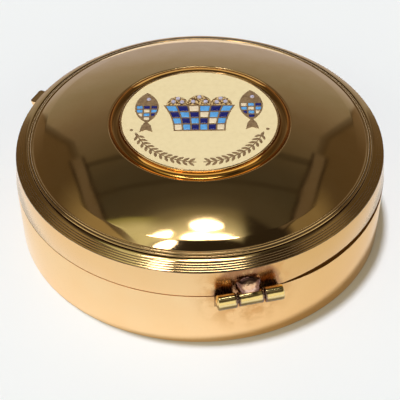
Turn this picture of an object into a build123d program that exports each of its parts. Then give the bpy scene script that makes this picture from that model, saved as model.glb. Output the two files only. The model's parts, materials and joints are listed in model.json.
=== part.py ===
from build123d import *
import os
from math import cos, radians, sin

# A round hinged host box (pyx) in gilded brass, with a convex lid that carries an enamelled
# medallion. Millimetres. The origin is the centre of the underside, +Z is up, and -Y is the side
# from which the medallion's picture stands upright.

# ---- driving dimensions -------------------------------------------------------------------------
BODY_RADIUS = 40.0          # outside of the base wall, and of the lid at the seam
WALL = 1.0                  # sheet thickness of the two visible walls
FLOOR = 0.8                 # sheet thickness of the floor disc
SEAM = 13.45                # top of the base wall
SEAM_GAP = 0.2              # open joint between base wall and lid
SEAM_BREAK = 0.12           # the wall's upper edge is broken by this much
LID_BOTTOM = SEAM + SEAM_GAP
BAND_TOP = 19.32            # top of the lid's upright band, under the rim moulding
BAND_TOP_RADIUS = 39.4      # the band leans in a little
BAND_TOP_INNER = 38.5
BAND_INNER = 38.95
SLEEVE_RADIUS = 38.35       # the part of the base sleeve that stands up inside the lid
SLEEVE_INNER = 37.9
SLEEVE_RISE = 2.45          # how far the sleeve stands above the base wall
SLEEVE_LEAD = 0.15          # bevel on its top that leads the lid on
LEDGE = 20.1                # step in the rim moulding on which the dome and the bead wire sit
LEDGE_INNER = 34.5
DOME_RADIUS = 35.6          # outer edge of the dome
DOME_EDGE = 21.23           # height of that edge
BRIM_RADIUS = 33.35         # break line where the dome becomes a slightly steeper brim
BRIM_HEIGHT = 21.99
DOME_SKIN = 0.7             # sheet thickness of the dome
WIRE_OUTER = 36.75          # double bead wire in the groove between moulding and dome
STEPS = 5                   # the moulding is turned in five flat steps, the first one wider
FIRST_TREAD = 0.78
TREAD = 0.375
TREAD_FALL = 0.235          # slope of every tread
RISER = 0.19
SEAT_RADIUS = 19.3          # dish soldered into the middle of the dome
SEAT_BOTTOM = 23.1
SEAT_TOP = 24.75
POCKET = 24.0               # floor of the dish, under the medallion plate
BEZEL_RADIUS = 16.9
PLATE_RADIUS = 16.5
PLATE_TOP = 24.6
ENAMEL_TOP = 25.3
METAL_TOP = 25.38           # wires and figures stand a hair above the enamel
LINE = 0.3                  # width of the metal lines between enamel cells

HINGE_ANGLE = -77.0         # compass position of the hinge, counted from +X
PIVOT_RADIUS = 41.75        # hinge pin's distance from the box's axis
PIVOT_HEIGHT = 14.0
PIN_RADIUS = 0.7
BARREL_RADIUS = 1.5
LID_BARREL_RADIUS = 1.4
PIN_CLEARANCE = 0.06
OUTER_KNUCKLE = 3.75        # length of each base knuckle
MIDDLE_KNUCKLE = 4.85       # length of the lid knuckle
KNUCKLE_GAP = 0.35
TAB_ANGLE = 155.0           # compass position of the thumb tab
TAB_LENGTH = 4.5
TAB_DEPTH = 2.3
TAB_TOP = 18.65
TAB_ROUNDING = 0.6

os.makedirs("parts", exist_ok=True)


def write(piece, name):
    """Label a finished piece and write its STEP file."""
    piece.part.label = name
    export_step(piece.part, f"parts/{name}.step")


def section_plane(angle):
    """A plane through the box's axis: local X points outwards at this compass angle, local Y up."""
    outward = (cos(radians(angle)), sin(radians(angle)), 0)
    backwards = (sin(radians(angle)), -cos(radians(angle)), 0)
    return Plane(origin=(0, 0, 0), x_dir=outward, z_dir=backwards)


def leaf(length, width):
    """A pointed leaf shape along X, made of two arcs."""
    with BuildSketch() as shape:
        with BuildLine():
            ThreePointArc((-length / 2, 0), (0, width / 2), (length / 2, 0))
            ThreePointArc((length / 2, 0), (0, -width / 2), (-length / 2, 0))
        make_face()
    return shape.sketch


# ---- base ---------------------------------------------------------------------------------------
with BuildPart() as base_wall:
    with BuildSketch():
        Circle(BODY_RADIUS)
        Circle(BODY_RADIUS - WALL, mode=Mode.SUBTRACT)
    extrude(amount=SEAM)
    chamfer(base_wall.edges().group_by(Axis.Z)[-1].sort_by(SortBy.RADIUS)[-1], SEAM_BREAK)
write(base_wall, "base_wall")

with BuildPart() as base_floor:
    with BuildSketch():
        Circle(BODY_RADIUS - WALL)
    extrude(amount=FLOOR)
write(base_floor, "base_floor")

# The sleeve lines the wall from the floor up, and its rolled-in top guides the lid.
with BuildPart() as base_sleeve:
    with BuildSketch(Plane.XZ):
        with BuildLine():
            Polyline(
                (SLEEVE_INNER, FLOOR),
                (BODY_RADIUS - WALL, FLOOR),
                (BODY_RADIUS - WALL, SEAM),
                (SLEEVE_RADIUS, SEAM),
                (SLEEVE_RADIUS, SEAM + SLEEVE_RISE - SLEEVE_LEAD),
                (SLEEVE_RADIUS - SLEEVE_LEAD, SEAM + SLEEVE_RISE),
                (SLEEVE_INNER, SEAM + SLEEVE_RISE),
                close=True,
            )
        make_face()
    revolve(axis=Axis.Z)
write(base_sleeve, "base_sleeve")

# ---- hinge --------------------------------------------------------------------------------------
hinge_plane = section_plane(HINGE_ANGLE)
BARREL_LENGTH = 2 * OUTER_KNUCKLE + 2 * KNUCKLE_GAP + MIDDLE_KNUCKLE
PIN_HEAD = 0.2              # thickness of the peened heads
PIN_HEAD_RIM = 0.25         # how far they stand out round the pin
PIN_HEAD_BREAK = 0.12
KNUCKLE_BREAK = 0.2
FOOT_TOP = SEAM - 0.15      # the knuckles' feet stay below the lid
FOOT_SINK = 0.5             # drawn this far into the wall, then cut back to its face
FOOT_NECK = PIVOT_HEIGHT - 1.3
FOOT_BEND = (PIVOT_RADIUS - 0.75, PIVOT_HEIGHT - 1.6)
FOOT_HEEL = (BODY_RADIUS + 0.3, PIVOT_HEIGHT - 2.5)
FOOT_BOTTOM = PIVOT_HEIGHT - 3.2


def base_knuckle(start):
    """A tube with a foot that is soldered to the base wall; start is its far end along the pin."""
    with BuildPart() as knuckle:
        with BuildSketch(hinge_plane.offset(start)):
            with BuildLine():
                Polyline(
                    (BODY_RADIUS - FOOT_SINK, FOOT_TOP),
                    (PIVOT_RADIUS, FOOT_TOP),
                    (PIVOT_RADIUS, FOOT_NECK),
                    FOOT_BEND,
                    FOOT_HEEL,
                    (BODY_RADIUS - FOOT_SINK, FOOT_BOTTOM),
                    close=True,
                )
            make_face()
            with Locations((PIVOT_RADIUS, PIVOT_HEIGHT)):
                Circle(BARREL_RADIUS)
                Circle(PIN_RADIUS, mode=Mode.SUBTRACT)
        extrude(amount=OUTER_KNUCKLE)
        Cylinder(BODY_RADIUS, 4 * SEAM, mode=Mode.SUBTRACT)
        rims = knuckle.edges().filter_by(GeomType.CIRCLE)
        outer_rims = rims.filter_by(lambda rim: rim.radius > PIN_RADIUS + PIN_HEAD_RIM)
        chamfer(outer_rims, KNUCKLE_BREAK)
    return knuckle


write(base_knuckle(BARREL_LENGTH / 2 - OUTER_KNUCKLE), "base_knuckle_left")
write(base_knuckle(-BARREL_LENGTH / 2), "base_knuckle_right")

with BuildPart() as hinge_pin:
    with BuildSketch(hinge_plane.offset(-BARREL_LENGTH / 2 - PIN_HEAD)):
        with Locations((PIVOT_RADIUS, PIVOT_HEIGHT)):
            Circle(PIN_RADIUS)
    extrude(amount=BARREL_LENGTH + 2 * PIN_HEAD)
    for head_start in (-BARREL_LENGTH / 2 - PIN_HEAD, BARREL_LENGTH / 2):
        with BuildSketch(hinge_plane.offset(head_start)):
            with Locations((PIVOT_RADIUS, PIVOT_HEIGHT)):
                Circle(PIN_RADIUS + PIN_HEAD_RIM)
        extrude(amount=PIN_HEAD)
    pin_axis = Axis(origin=(0, 0, 0), direction=hinge_plane.z_dir)
    outermost = hinge_pin.faces().filter_by(GeomType.PLANE).sort_by(pin_axis)
    chamfer([outermost[0].edges(), outermost[-1].edges()], PIN_HEAD_BREAK)
write(hinge_pin, "hinge_pin")

with BuildPart() as lid_knuckle:
    with BuildSketch(hinge_plane.offset(-MIDDLE_KNUCKLE / 2)):
        with Locations((PIVOT_RADIUS, PIVOT_HEIGHT)):
            Circle(LID_BARREL_RADIUS)
            Circle(PIN_RADIUS + PIN_CLEARANCE, mode=Mode.SUBTRACT)
    extrude(amount=MIDDLE_KNUCKLE)
write(lid_knuckle, "lid_knuckle")

# Everything inside the band's outer face: what is soldered to the band is cut back to this.
BAND_EDGE_BREAK = 0.1
with BuildPart() as band_core:
    with BuildSketch(Plane.XZ):
        with BuildLine():
            Polyline(
                (0, LID_BOTTOM - 1),
                (BODY_RADIUS, LID_BOTTOM - 1),
                (BODY_RADIUS, LID_BOTTOM + BAND_EDGE_BREAK),
                (BAND_TOP_RADIUS, BAND_TOP),
                (0, BAND_TOP),
                close=True,
            )
        make_face()
    revolve(axis=Axis.Z)

# The leaf carries the lid knuckle: a web over the barrel and a wider flange soldered to the band.
LEAF_TOP = 17.7
FLANGE_BOTTOM = 15.75
FLANGE_WIDTH = 6.4
FLANGE_DEPTH = 1.5
LEAF_BOTTOM = LID_BOTTOM + 0.05
LEAF_ROOT = BODY_RADIUS - 1.2       # drawn this deep, then cut back to the band's face
LEAF_FOOT = PIVOT_RADIUS - 0.6
LEAF_TOE = (PIVOT_RADIUS + 0.35, PIVOT_HEIGHT + 1.2)
LEAF_CROWN = (PIVOT_RADIUS - 0.6, PIVOT_HEIGHT + 2.75)
LEAF_CREST = (BODY_RADIUS + 0.05, LEAF_TOP)
with BuildPart() as lid_leaf:
    with BuildSketch(hinge_plane.offset(-MIDDLE_KNUCKLE / 2)):
        with BuildLine():
            Polyline(
                LEAF_TOE,
                (LEAF_FOOT, LEAF_BOTTOM),
                (LEAF_ROOT, LEAF_BOTTOM),
                (LEAF_ROOT, LEAF_TOP),
                LEAF_CREST,
            )
            ThreePointArc(LEAF_CREST, LEAF_CROWN, LEAF_TOE)
        make_face()
    extrude(amount=MIDDLE_KNUCKLE)
    with BuildSketch(hinge_plane.offset(-FLANGE_WIDTH / 2)):
        with Locations((BODY_RADIUS - 0.4, (FLANGE_BOTTOM + LEAF_TOP) / 2)):
            Rectangle(FLANGE_DEPTH, LEAF_TOP - FLANGE_BOTTOM)
    extrude(amount=FLANGE_WIDTH)
    with BuildSketch(hinge_plane.offset(-MIDDLE_KNUCKLE)):
        with Locations((PIVOT_RADIUS, PIVOT_HEIGHT)):
            Circle(LID_BARREL_RADIUS)
    extrude(amount=2 * MIDDLE_KNUCKLE, mode=Mode.SUBTRACT)
    add(band_core.part, mode=Mode.SUBTRACT)
write(lid_leaf, "lid_leaf")

# ---- lid shell ----------------------------------------------------------------------------------
with BuildPart() as lid_band:
    with BuildSketch(Plane.XZ):
        with BuildLine():
            Polyline(
                (BAND_INNER, LID_BOTTOM),
                (BODY_RADIUS - BAND_EDGE_BREAK, LID_BOTTOM),
                (BODY_RADIUS, LID_BOTTOM + BAND_EDGE_BREAK),
                (BAND_TOP_RADIUS, BAND_TOP),
                (BAND_TOP_INNER, BAND_TOP),
                close=True,
            )
        make_face()
    revolve(axis=Axis.Z)
write(lid_band, "lid_band")

GROOVE_TOP = LEDGE + 0.5    # bottom of the groove between the bead wire and the wide tread
GROOVE_LEAN = 0.04
rim_end = BAND_TOP_RADIUS - 0.04
rim_start = rim_end - FIRST_TREAD - (STEPS - 1) * TREAD
with BuildPart() as rim_moulding:
    with BuildSketch(Plane.XZ):
        with BuildLine():
            corners = [(rim_end, BAND_TOP)]
            for step in range(STEPS):
                width = FIRST_TREAD if step == STEPS - 1 else TREAD
                radius, height = corners[-1]
                corners.append((radius, height + RISER))
                corners.append((radius - width, height + RISER + width * TREAD_FALL))
            Polyline(
                *corners,
                (rim_start - GROOVE_LEAN, GROOVE_TOP),
                (WIRE_OUTER, GROOVE_TOP - 0.05),
                (WIRE_OUTER, LEDGE),
                (LEDGE_INNER, LEDGE),
                (LEDGE_INNER, BAND_TOP),
                close=True,
            )
        make_face()
    revolve(axis=Axis.Z)
write(rim_moulding, "rim_moulding")

# Two round beads side by side, the inner one larger, drawn as one wire.
WIRE_TOP = 21.3
# Corners of the two beads: how far in from WIRE_OUTER, and how far down from WIRE_TOP.
OUTER_BEAD = ((0, 0.62), (0.12, 0.42), (0.38, 0.3), (0.5, 0.4))
INNER_BEAD = ((0.62, 0.2), (0.8, 0.04), (0.98, 0), (WIRE_OUTER - DOME_RADIUS, 0.1))
bead_corners = [(WIRE_OUTER - inward, WIRE_TOP - down) for inward, down in OUTER_BEAD + INNER_BEAD]
with BuildPart() as bead_wire:
    with BuildSketch(Plane.XZ):
        with BuildLine():
            Polyline((DOME_RADIUS, LEDGE), (WIRE_OUTER, LEDGE), *bead_corners, close=True)
        make_face()
    revolve(axis=Axis.Z)
write(bead_wire, "bead_wire")

# The dome is a cap of a large sphere, with a narrow brim that falls a little more gently.
LIP_RADIUS = SEAT_RADIUS + 0.25
LIP_TOP = 24.9
LIP_ROUND = (SEAT_RADIUS + 0.09, LIP_TOP - 0.04)
BRIM_BULGE = 0.012          # the brim is all but straight in section
INNER_BRIM = (BRIM_RADIUS - 0.2, BRIM_HEIGHT - DOME_SKIN)
sphere_radius = (BRIM_RADIUS**2 - LIP_RADIUS**2) / (2 * (LIP_TOP - BRIM_HEIGHT))
middle_radius = (BRIM_RADIUS + LIP_RADIUS) / 2
middle_height = LIP_TOP - (middle_radius**2 - LIP_RADIUS**2) / (2 * sphere_radius)
with BuildPart() as lid_dome:
    with BuildSketch(Plane.XZ):
        with BuildLine():
            Polyline((LEDGE_INNER, LEDGE), (DOME_RADIUS, LEDGE), (DOME_RADIUS, DOME_EDGE))
            ThreePointArc(
                (DOME_RADIUS, DOME_EDGE),
                ((DOME_RADIUS + BRIM_RADIUS) / 2, (DOME_EDGE + BRIM_HEIGHT) / 2 + BRIM_BULGE),
                (BRIM_RADIUS, BRIM_HEIGHT),
            )
            ThreePointArc(
                (BRIM_RADIUS, BRIM_HEIGHT), (middle_radius, middle_height), (LIP_RADIUS, LIP_TOP)
            )
            ThreePointArc((LIP_RADIUS, LIP_TOP), LIP_ROUND, (SEAT_RADIUS, SEAT_TOP))
            Line((SEAT_RADIUS, SEAT_TOP), (SEAT_RADIUS, LIP_TOP - DOME_SKIN))
            ThreePointArc(
                (SEAT_RADIUS, LIP_TOP - DOME_SKIN),
                (middle_radius - 0.15, middle_height - DOME_SKIN),
                INNER_BRIM,
            )
            Line(INNER_BRIM, (LEDGE_INNER, LEDGE))
        make_face()
    revolve(axis=Axis.Z)
write(lid_dome, "lid_dome")

TAB_START = BODY_RADIUS - 1.0       # where the quarter round begins, just inside the band's face
TAB_ROOT = BODY_RADIUS - 1.2        # drawn this deep, then cut back to the band's face
with BuildPart() as thumb_tab:
    with BuildSketch(section_plane(TAB_ANGLE).offset(-TAB_LENGTH / 2)):
        with BuildLine():
            Polyline(
                (TAB_START, TAB_TOP - TAB_DEPTH),
                (TAB_ROOT, TAB_TOP - TAB_DEPTH),
                (TAB_ROOT, TAB_TOP),
                (TAB_START + TAB_DEPTH, TAB_TOP),
            )
            RadiusArc((TAB_START + TAB_DEPTH, TAB_TOP), (TAB_START, TAB_TOP - TAB_DEPTH), TAB_DEPTH)
        make_face()
    extrude(amount=TAB_LENGTH)
    end_arcs = thumb_tab.edges().filter_by(GeomType.CIRCLE)
    fillet(end_arcs, TAB_ROUNDING)
    add(band_core.part, mode=Mode.SUBTRACT)
write(thumb_tab, "thumb_tab")

# ---- medallion: dish, bezel and plate -----------------------------------------------------------
SEAT_RIM = 0.15             # flat rim round the dish's hollow ring
RING_DIP = POCKET - 0.05    # lowest point of that ring
RING_EDGE = PLATE_TOP - 0.1
BEZEL_ROUND = 0.12
BEZEL_DROP = 0.05
with BuildPart() as medallion_seat:
    with BuildSketch(Plane.XZ):
        with BuildLine():
            Polyline(
                (BEZEL_RADIUS, RING_EDGE),
                (BEZEL_RADIUS, POCKET),
                (0, POCKET),
                (0, SEAT_BOTTOM),
                (SEAT_RADIUS, SEAT_BOTTOM),
                (SEAT_RADIUS, SEAT_TOP),
                (SEAT_RADIUS - SEAT_RIM, SEAT_TOP),
            )
            ThreePointArc(
                (SEAT_RADIUS - SEAT_RIM, SEAT_TOP),
                ((SEAT_RADIUS + BEZEL_RADIUS) / 2, RING_DIP),
                (BEZEL_RADIUS, RING_EDGE),
            )
        make_face()
    revolve(axis=Axis.Z)
write(medallion_seat, "medallion_seat")

with BuildPart() as medallion_bezel:
    with BuildSketch(Plane.XZ):
        with BuildLine():
            Polyline(
                (PLATE_RADIUS, ENAMEL_TOP),
                (PLATE_RADIUS, POCKET),
                (BEZEL_RADIUS, POCKET),
                (BEZEL_RADIUS, ENAMEL_TOP - BEZEL_DROP),
            )
            ThreePointArc(
                (BEZEL_RADIUS, ENAMEL_TOP - BEZEL_DROP),
                ((BEZEL_RADIUS + PLATE_RADIUS) / 2, ENAMEL_TOP + BEZEL_ROUND),
                (PLATE_RADIUS, ENAMEL_TOP),
            )
        make_face()
    revolve(axis=Axis.Z)
write(medallion_bezel, "medallion_bezel")

with BuildPart() as medallion_plate:
    with BuildSketch(Plane.XY.offset(POCKET)):
        Circle(PLATE_RADIUS)
    extrude(amount=PLATE_TOP - POCKET)
write(medallion_plate, "medallion_plate")

# ---- medallion: basket --------------------------------------------------------------------------
BASKET_BOTTOM = -3.9
BASKET_HEIGHT = 8.4
BASKET_TOP_HALF = 7.4
BASKET_BOTTOM_HALF = 5.3
BASKET_ROWS = 4
BASKET_COLUMNS = 6
BASKET_FLARE = 1.9          # 1 would give straight sides
# One letter per cell, top row first: L light blue, N navy, C cream.
BASKET_CELLS = ("LNCLNL", "NLNCLN", "LNLNCL", "CLNLNC")
BASKET_TOP = BASKET_BOTTOM + BASKET_HEIGHT


def basket_half_width(rise):
    """Half the basket's width at a height from 0 (bottom) to 1 (top); its sides flare outwards."""
    return BASKET_BOTTOM_HALF + (BASKET_TOP_HALF - BASKET_BOTTOM_HALF) * rise**BASKET_FLARE


def basket_cell(row, column):
    """The four corners of one cell, drawn in by half a metal line; row 0 is the top row."""
    inset = LINE / 2
    high = 1 - row / BASKET_ROWS - inset / BASKET_HEIGHT
    low = 1 - (row + 1) / BASKET_ROWS + inset / BASKET_HEIGHT
    corners = []
    for rise, side in ((low, 0), (low, 1), (high, 1), (high, 0)):
        half = basket_half_width(rise)
        x = -half + 2 * half * (column + side) / BASKET_COLUMNS
        x += inset if side == 0 else -inset
        corners.append((x, BASKET_BOTTOM + rise * BASKET_HEIGHT))
    return corners


with BuildSketch() as basket_outline:
    edge = LINE / 2
    with BuildLine():
        Polyline(
            (-BASKET_TOP_HALF - 2 * edge, BASKET_TOP + edge),
            (BASKET_TOP_HALF + 2 * edge, BASKET_TOP + edge),
        )
        ThreePointArc(
            (BASKET_TOP_HALF + 2 * edge, BASKET_TOP + edge),
            (basket_half_width(0.5) + edge, BASKET_BOTTOM + BASKET_HEIGHT / 2),
            (BASKET_BOTTOM_HALF + edge, BASKET_BOTTOM - edge),
        )
        Line(
            (BASKET_BOTTOM_HALF + edge, BASKET_BOTTOM - edge),
            (-BASKET_BOTTOM_HALF - edge, BASKET_BOTTOM - edge),
        )
        ThreePointArc(
            (-BASKET_BOTTOM_HALF - edge, BASKET_BOTTOM - edge),
            (-basket_half_width(0.5) - edge, BASKET_BOTTOM + BASKET_HEIGHT / 2),
            (-BASKET_TOP_HALF - 2 * edge, BASKET_TOP + edge),
        )
    make_face()


def basket_cells(letter):
    """All the basket's cells of one colour."""
    with BuildSketch() as cells:
        for row, letters in enumerate(BASKET_CELLS):
            for column, colour in enumerate(letters):
                if colour == letter:
                    Polygon(*basket_cell(row, column), align=None)
    return cells.sketch


# ---- medallion: fishes --------------------------------------------------------------------------
FISH_LENGTH = 10.4
FISH_HALF_WIDTH = 2.55
FISH_CENTRES = {"left": (-11.25, 3.9), "right": (11.1, 4.6)}
# Scales: column and row of each cell with its colour; row 0 is next to the head.
FISH_CELLS = {
    "left": ("LNN", "LCL", "CLN", "LCL"),
    "right": ("CLN", "LCL", "NLC", "LNL"),
}
SCALE_WIDTH = 1.55
SCALE_HEIGHT = 1.3
SCALES_TOP = 0.75           # the head ends this far above the fish's middle
SMALLEST_CELL = 0.3         # cells under this area, in square millimetres, are left as metal


def fish_body(inset):
    """The fish's pointed oval at the origin, drawn in by an inset."""
    length = FISH_LENGTH / 2 - inset * FISH_LENGTH / (2 * FISH_HALF_WIDTH)
    half_width = FISH_HALF_WIDTH - inset
    with BuildSketch() as body:
        with BuildLine():
            ThreePointArc((0, length), (half_width, 0), (0, -length))
            ThreePointArc((0, -length), (-half_width, 0), (0, length))
        make_face()
    return body.sketch


def fish_outline(side):
    """Body and forked tail of one fish, in its place."""
    with BuildSketch() as outline:
        with Locations(FISH_CENTRES[side]):
            add(fish_body_shape)
            Polygon(*FISH_TAIL, align=None)
    return outline.sketch


def fish_cells(side, letter):
    """One fish's scales of one colour, clipped by the body."""
    with BuildSketch() as cells:
        for row, letters in enumerate(FISH_CELLS[side]):
            for column, colour in enumerate(letters):
                if colour == letter:
                    x = FISH_CENTRES[side][0] + (column - 1) * SCALE_WIDTH
                    y = FISH_CENTRES[side][1] + SCALES_TOP - (row + 0.5) * SCALE_HEIGHT
                    with Locations((x, y)):
                        Rectangle(SCALE_WIDTH - LINE, SCALE_HEIGHT - LINE)
        with Locations(FISH_CENTRES[side]):
            add(fish_inner_shape, mode=Mode.INTERSECT)
    return [face for face in cells.sketch.faces() if face.area > SMALLEST_CELL]


FISH_TAIL = ((0, -4.6), (0.95, -6.1), (1.4, -8.2), (0, -7.5), (-1.4, -8.2), (-0.95, -6.1))
fish_body_shape = fish_body(0)
fish_inner_shape = fish_body(LINE)
fish_outlines = {side: fish_outline(side) for side in FISH_CENTRES}

# ---- medallion: loaves, dots and garland --------------------------------------------------------
LOAF_BASE = BASKET_TOP + LINE / 2
LOAF_TOP = 25.62
MIDDLE_LOAF = (2.75, 3.55)          # half-width and height
SIDE_LOAF = (2.4, 2.95)
SIDE_LOAF_X = 4.7
SIDE_LOAF_TOP = LOAF_TOP - 0.08     # the two side loaves lie a little lower
ABOVE_BASKET = (20, 10)             # larger than the loaves: keeps their upper halves
with BuildSketch() as loaf_outline:
    with Locations((-SIDE_LOAF_X, LOAF_BASE), (SIDE_LOAF_X, LOAF_BASE)):
        Ellipse(*SIDE_LOAF)
    with Locations((0, LOAF_BASE)):
        Ellipse(*MIDDLE_LOAF)
    with Locations((0, LOAF_BASE)):
        Rectangle(*ABOVE_BASKET, align=(Align.CENTER, Align.MIN), mode=Mode.INTERSECT)

with BuildSketch() as middle_loaf:
    with Locations((0, LOAF_BASE)):
        Ellipse(*MIDDLE_LOAF)
        Rectangle(*ABOVE_BASKET, align=(Align.CENTER, Align.MIN), mode=Mode.INTERSECT)

DOT_PLACES = ((-14.3, -3.6), (14.3, -3.6))
DOT_RADIUS = 0.38
with BuildSketch() as dot_outline:
    with Locations(*DOT_PLACES):
        Circle(DOT_RADIUS)

# Two ears of corn run out from the bottom of the plate, along its lower edge.
GARLAND_RADIUS = 14.1
GARLAND_START = 3.0         # degrees from the bottom, each way
GARLAND_END = 66.0
GRAIN_PAIRS = 12
GRAIN_OFFSET = 0.62         # each grain's middle stands this far from the stem
GRAIN_LEAN = 42             # degrees between grain and stem
TIP_ADVANCE = 2.2           # degrees from the last pair to the grain at the tip
STEM_HALF = 0.12
grain = leaf(1.75, 0.66)
with BuildSketch() as garland_outline:
    for way in (-1, 1):
        first = radians(-90 + way * GARLAND_START)
        middle = radians(-90 + way * (GARLAND_START + GARLAND_END) / 2)
        last = radians(-90 + way * GARLAND_END)
        with BuildLine():
            for radius in (GARLAND_RADIUS - STEM_HALF, GARLAND_RADIUS + STEM_HALF):
                ThreePointArc(
                    (radius * cos(first), radius * sin(first)),
                    (radius * cos(middle), radius * sin(middle)),
                    (radius * cos(last), radius * sin(last)),
                )
            for end in (first, last):
                Line(
                    ((GARLAND_RADIUS - STEM_HALF) * cos(end), (GARLAND_RADIUS - STEM_HALF) * sin(end)),
                    ((GARLAND_RADIUS + STEM_HALF) * cos(end), (GARLAND_RADIUS + STEM_HALF) * sin(end)),
                )
        make_face()
        for pair in range(GRAIN_PAIRS):
            share = (pair + 0.7) / GRAIN_PAIRS
            along = -90 + way * (GARLAND_START + share * (GARLAND_END - GARLAND_START))
            for side in (-1, 1):
                radius = GARLAND_RADIUS + side * GRAIN_OFFSET
                x = radius * cos(radians(along))
                y = radius * sin(radians(along))
                with Locations(Location((x, y), along + 90 + way * side * GRAIN_LEAN)):
                    add(grain)
        tip = radians(-90 + way * (GARLAND_END + TIP_ADVANCE))
        tip_place = (GARLAND_RADIUS * cos(tip), GARLAND_RADIUS * sin(tip))
        with Locations(Location(tip_place, way * GARLAND_END)):
            add(grain)

# ---- medallion: enamel and metal in their places ------------------------------------------------
with BuildPart() as enamel_field:
    with BuildSketch(Plane.XY.offset(PLATE_TOP)):
        Circle(PLATE_RADIUS)
        add(basket_outline.sketch, mode=Mode.SUBTRACT)
        add(loaf_outline.sketch, mode=Mode.SUBTRACT)
        add(dot_outline.sketch, mode=Mode.SUBTRACT)
        add(garland_outline.sketch, mode=Mode.SUBTRACT)
        for outline in fish_outlines.values():
            add(outline, mode=Mode.SUBTRACT)
    extrude(amount=ENAMEL_TOP - PLATE_TOP)
write(enamel_field, "enamel_field")

with BuildPart() as basket_frame:
    with BuildSketch(Plane.XY.offset(PLATE_TOP)):
        add(basket_outline.sketch)
        for letter in "LNC":
            add(basket_cells(letter), mode=Mode.SUBTRACT)
    extrude(amount=METAL_TOP - PLATE_TOP)
write(basket_frame, "basket_frame")

COLOURS = {"L": "light_blue", "N": "navy", "C": "cream"}
for letter, colour in COLOURS.items():
    with BuildPart() as basket_enamel:
        with BuildSketch(Plane.XY.offset(PLATE_TOP)):
            add(basket_cells(letter))
        extrude(amount=ENAMEL_TOP - PLATE_TOP)
    write(basket_enamel, f"basket_{colour}_enamel")

for side in FISH_CENTRES:
    with BuildPart() as fish:
        with BuildSketch(Plane.XY.offset(PLATE_TOP)):
            add(fish_outlines[side])
            for letter in COLOURS:
                add(fish_cells(side, letter), mode=Mode.SUBTRACT)
        extrude(amount=METAL_TOP - PLATE_TOP)
    write(fish, f"fish_{side}")

for letter, colour in COLOURS.items():
    with BuildPart() as fish_enamel:
        with BuildSketch(Plane.XY.offset(PLATE_TOP)):
            for side in FISH_CENTRES:
                add(fish_cells(side, letter))
        extrude(amount=ENAMEL_TOP - PLATE_TOP)
    write(fish_enamel, f"fish_{colour}_enamel")

with BuildPart() as loaves:
    with BuildSketch(Plane.XY.offset(PLATE_TOP)):
        add(loaf_outline.sketch)
        add(middle_loaf.sketch, mode=Mode.SUBTRACT)
    extrude(amount=SIDE_LOAF_TOP - PLATE_TOP)
    with BuildSketch(Plane.XY.offset(PLATE_TOP)):
        add(middle_loaf.sketch)
    extrude(amount=LOAF_TOP - PLATE_TOP)
write(loaves, "loaves")

with BuildPart() as corn_garland:
    with BuildSketch(Plane.XY.offset(PLATE_TOP)):
        add(garland_outline.sketch)
    extrude(amount=METAL_TOP - PLATE_TOP)
write(corn_garland, "corn_garland")

with BuildPart() as end_dots:
    with BuildSketch(Plane.XY.offset(PLATE_TOP)):
        add(dot_outline.sketch)
    extrude(amount=METAL_TOP - PLATE_TOP)
write(end_dots, "end_dots")

# ---- crystals -----------------------------------------------------------------------------------
CRYSTAL_RADIUS = 0.46
CRYSTAL_TABLE = 0.24
CRYSTAL_HEIGHT = 0.3


def crystals(places, height):
    """Cut stones, each a crown with a flat table, glued on at a height."""
    with BuildPart() as stones:
        with Locations(*[(x, y, height) for x, y in places]):
            Cone(
                CRYSTAL_RADIUS,
                CRYSTAL_TABLE,
                CRYSTAL_HEIGHT,
                align=(Align.CENTER, Align.CENTER, Align.MIN),
            )
    return stones


EYE_OFFSET = (0.35, 2.75)   # from the fish's middle
EYES = [(x + EYE_OFFSET[0], y + EYE_OFFSET[1]) for x, y in FISH_CENTRES.values()]
write(crystals(EYES, METAL_TOP), "fish_eyes")
SIDE_STONES = ((-5.6, 5.5), (-4.6, 6.6), (-3.75, 5.35), (3.75, 5.35), (4.6, 6.6), (5.6, 5.5))
MIDDLE_STONES = ((0, 7.05), (-1.35, 5.5), (1.35, 5.5))
with BuildPart() as loaf_crystals:
    add(crystals(SIDE_STONES, SIDE_LOAF_TOP).part)
    add(crystals(MIDDLE_STONES, LOAF_TOP).part)
write(loaf_crystals, "loaf_crystals")
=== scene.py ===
import json
from math import asin, atan2, cos, dist, hypot, pi, radians, sin, sqrt, tau

import bmesh
import bpy
from mathutils import Matrix, Vector, noise

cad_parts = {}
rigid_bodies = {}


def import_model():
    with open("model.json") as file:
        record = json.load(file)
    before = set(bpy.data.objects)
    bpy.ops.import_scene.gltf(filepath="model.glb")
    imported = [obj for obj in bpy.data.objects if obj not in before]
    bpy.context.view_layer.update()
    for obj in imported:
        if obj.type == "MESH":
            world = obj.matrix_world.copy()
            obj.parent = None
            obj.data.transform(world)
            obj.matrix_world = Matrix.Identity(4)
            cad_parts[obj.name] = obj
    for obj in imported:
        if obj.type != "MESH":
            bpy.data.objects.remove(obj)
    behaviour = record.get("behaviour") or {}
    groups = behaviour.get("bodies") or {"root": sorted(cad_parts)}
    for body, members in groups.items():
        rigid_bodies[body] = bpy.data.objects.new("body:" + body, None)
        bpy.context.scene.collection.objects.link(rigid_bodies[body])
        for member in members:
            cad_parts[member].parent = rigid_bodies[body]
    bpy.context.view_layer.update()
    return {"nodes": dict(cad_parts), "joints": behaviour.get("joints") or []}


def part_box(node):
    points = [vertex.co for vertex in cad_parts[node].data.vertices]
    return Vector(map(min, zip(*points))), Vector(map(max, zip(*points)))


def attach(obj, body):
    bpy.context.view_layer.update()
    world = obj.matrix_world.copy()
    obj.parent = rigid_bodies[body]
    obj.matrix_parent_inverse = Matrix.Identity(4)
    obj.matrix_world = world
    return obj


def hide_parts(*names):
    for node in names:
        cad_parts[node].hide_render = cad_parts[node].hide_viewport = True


# A gilded pyx on a pale floor. Lengths in this file are millimetres in the frame of the packed
# model, and MM turns them into metres when an object is made.
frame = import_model()
nodes = frame["nodes"]
MM = 0.001


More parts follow.
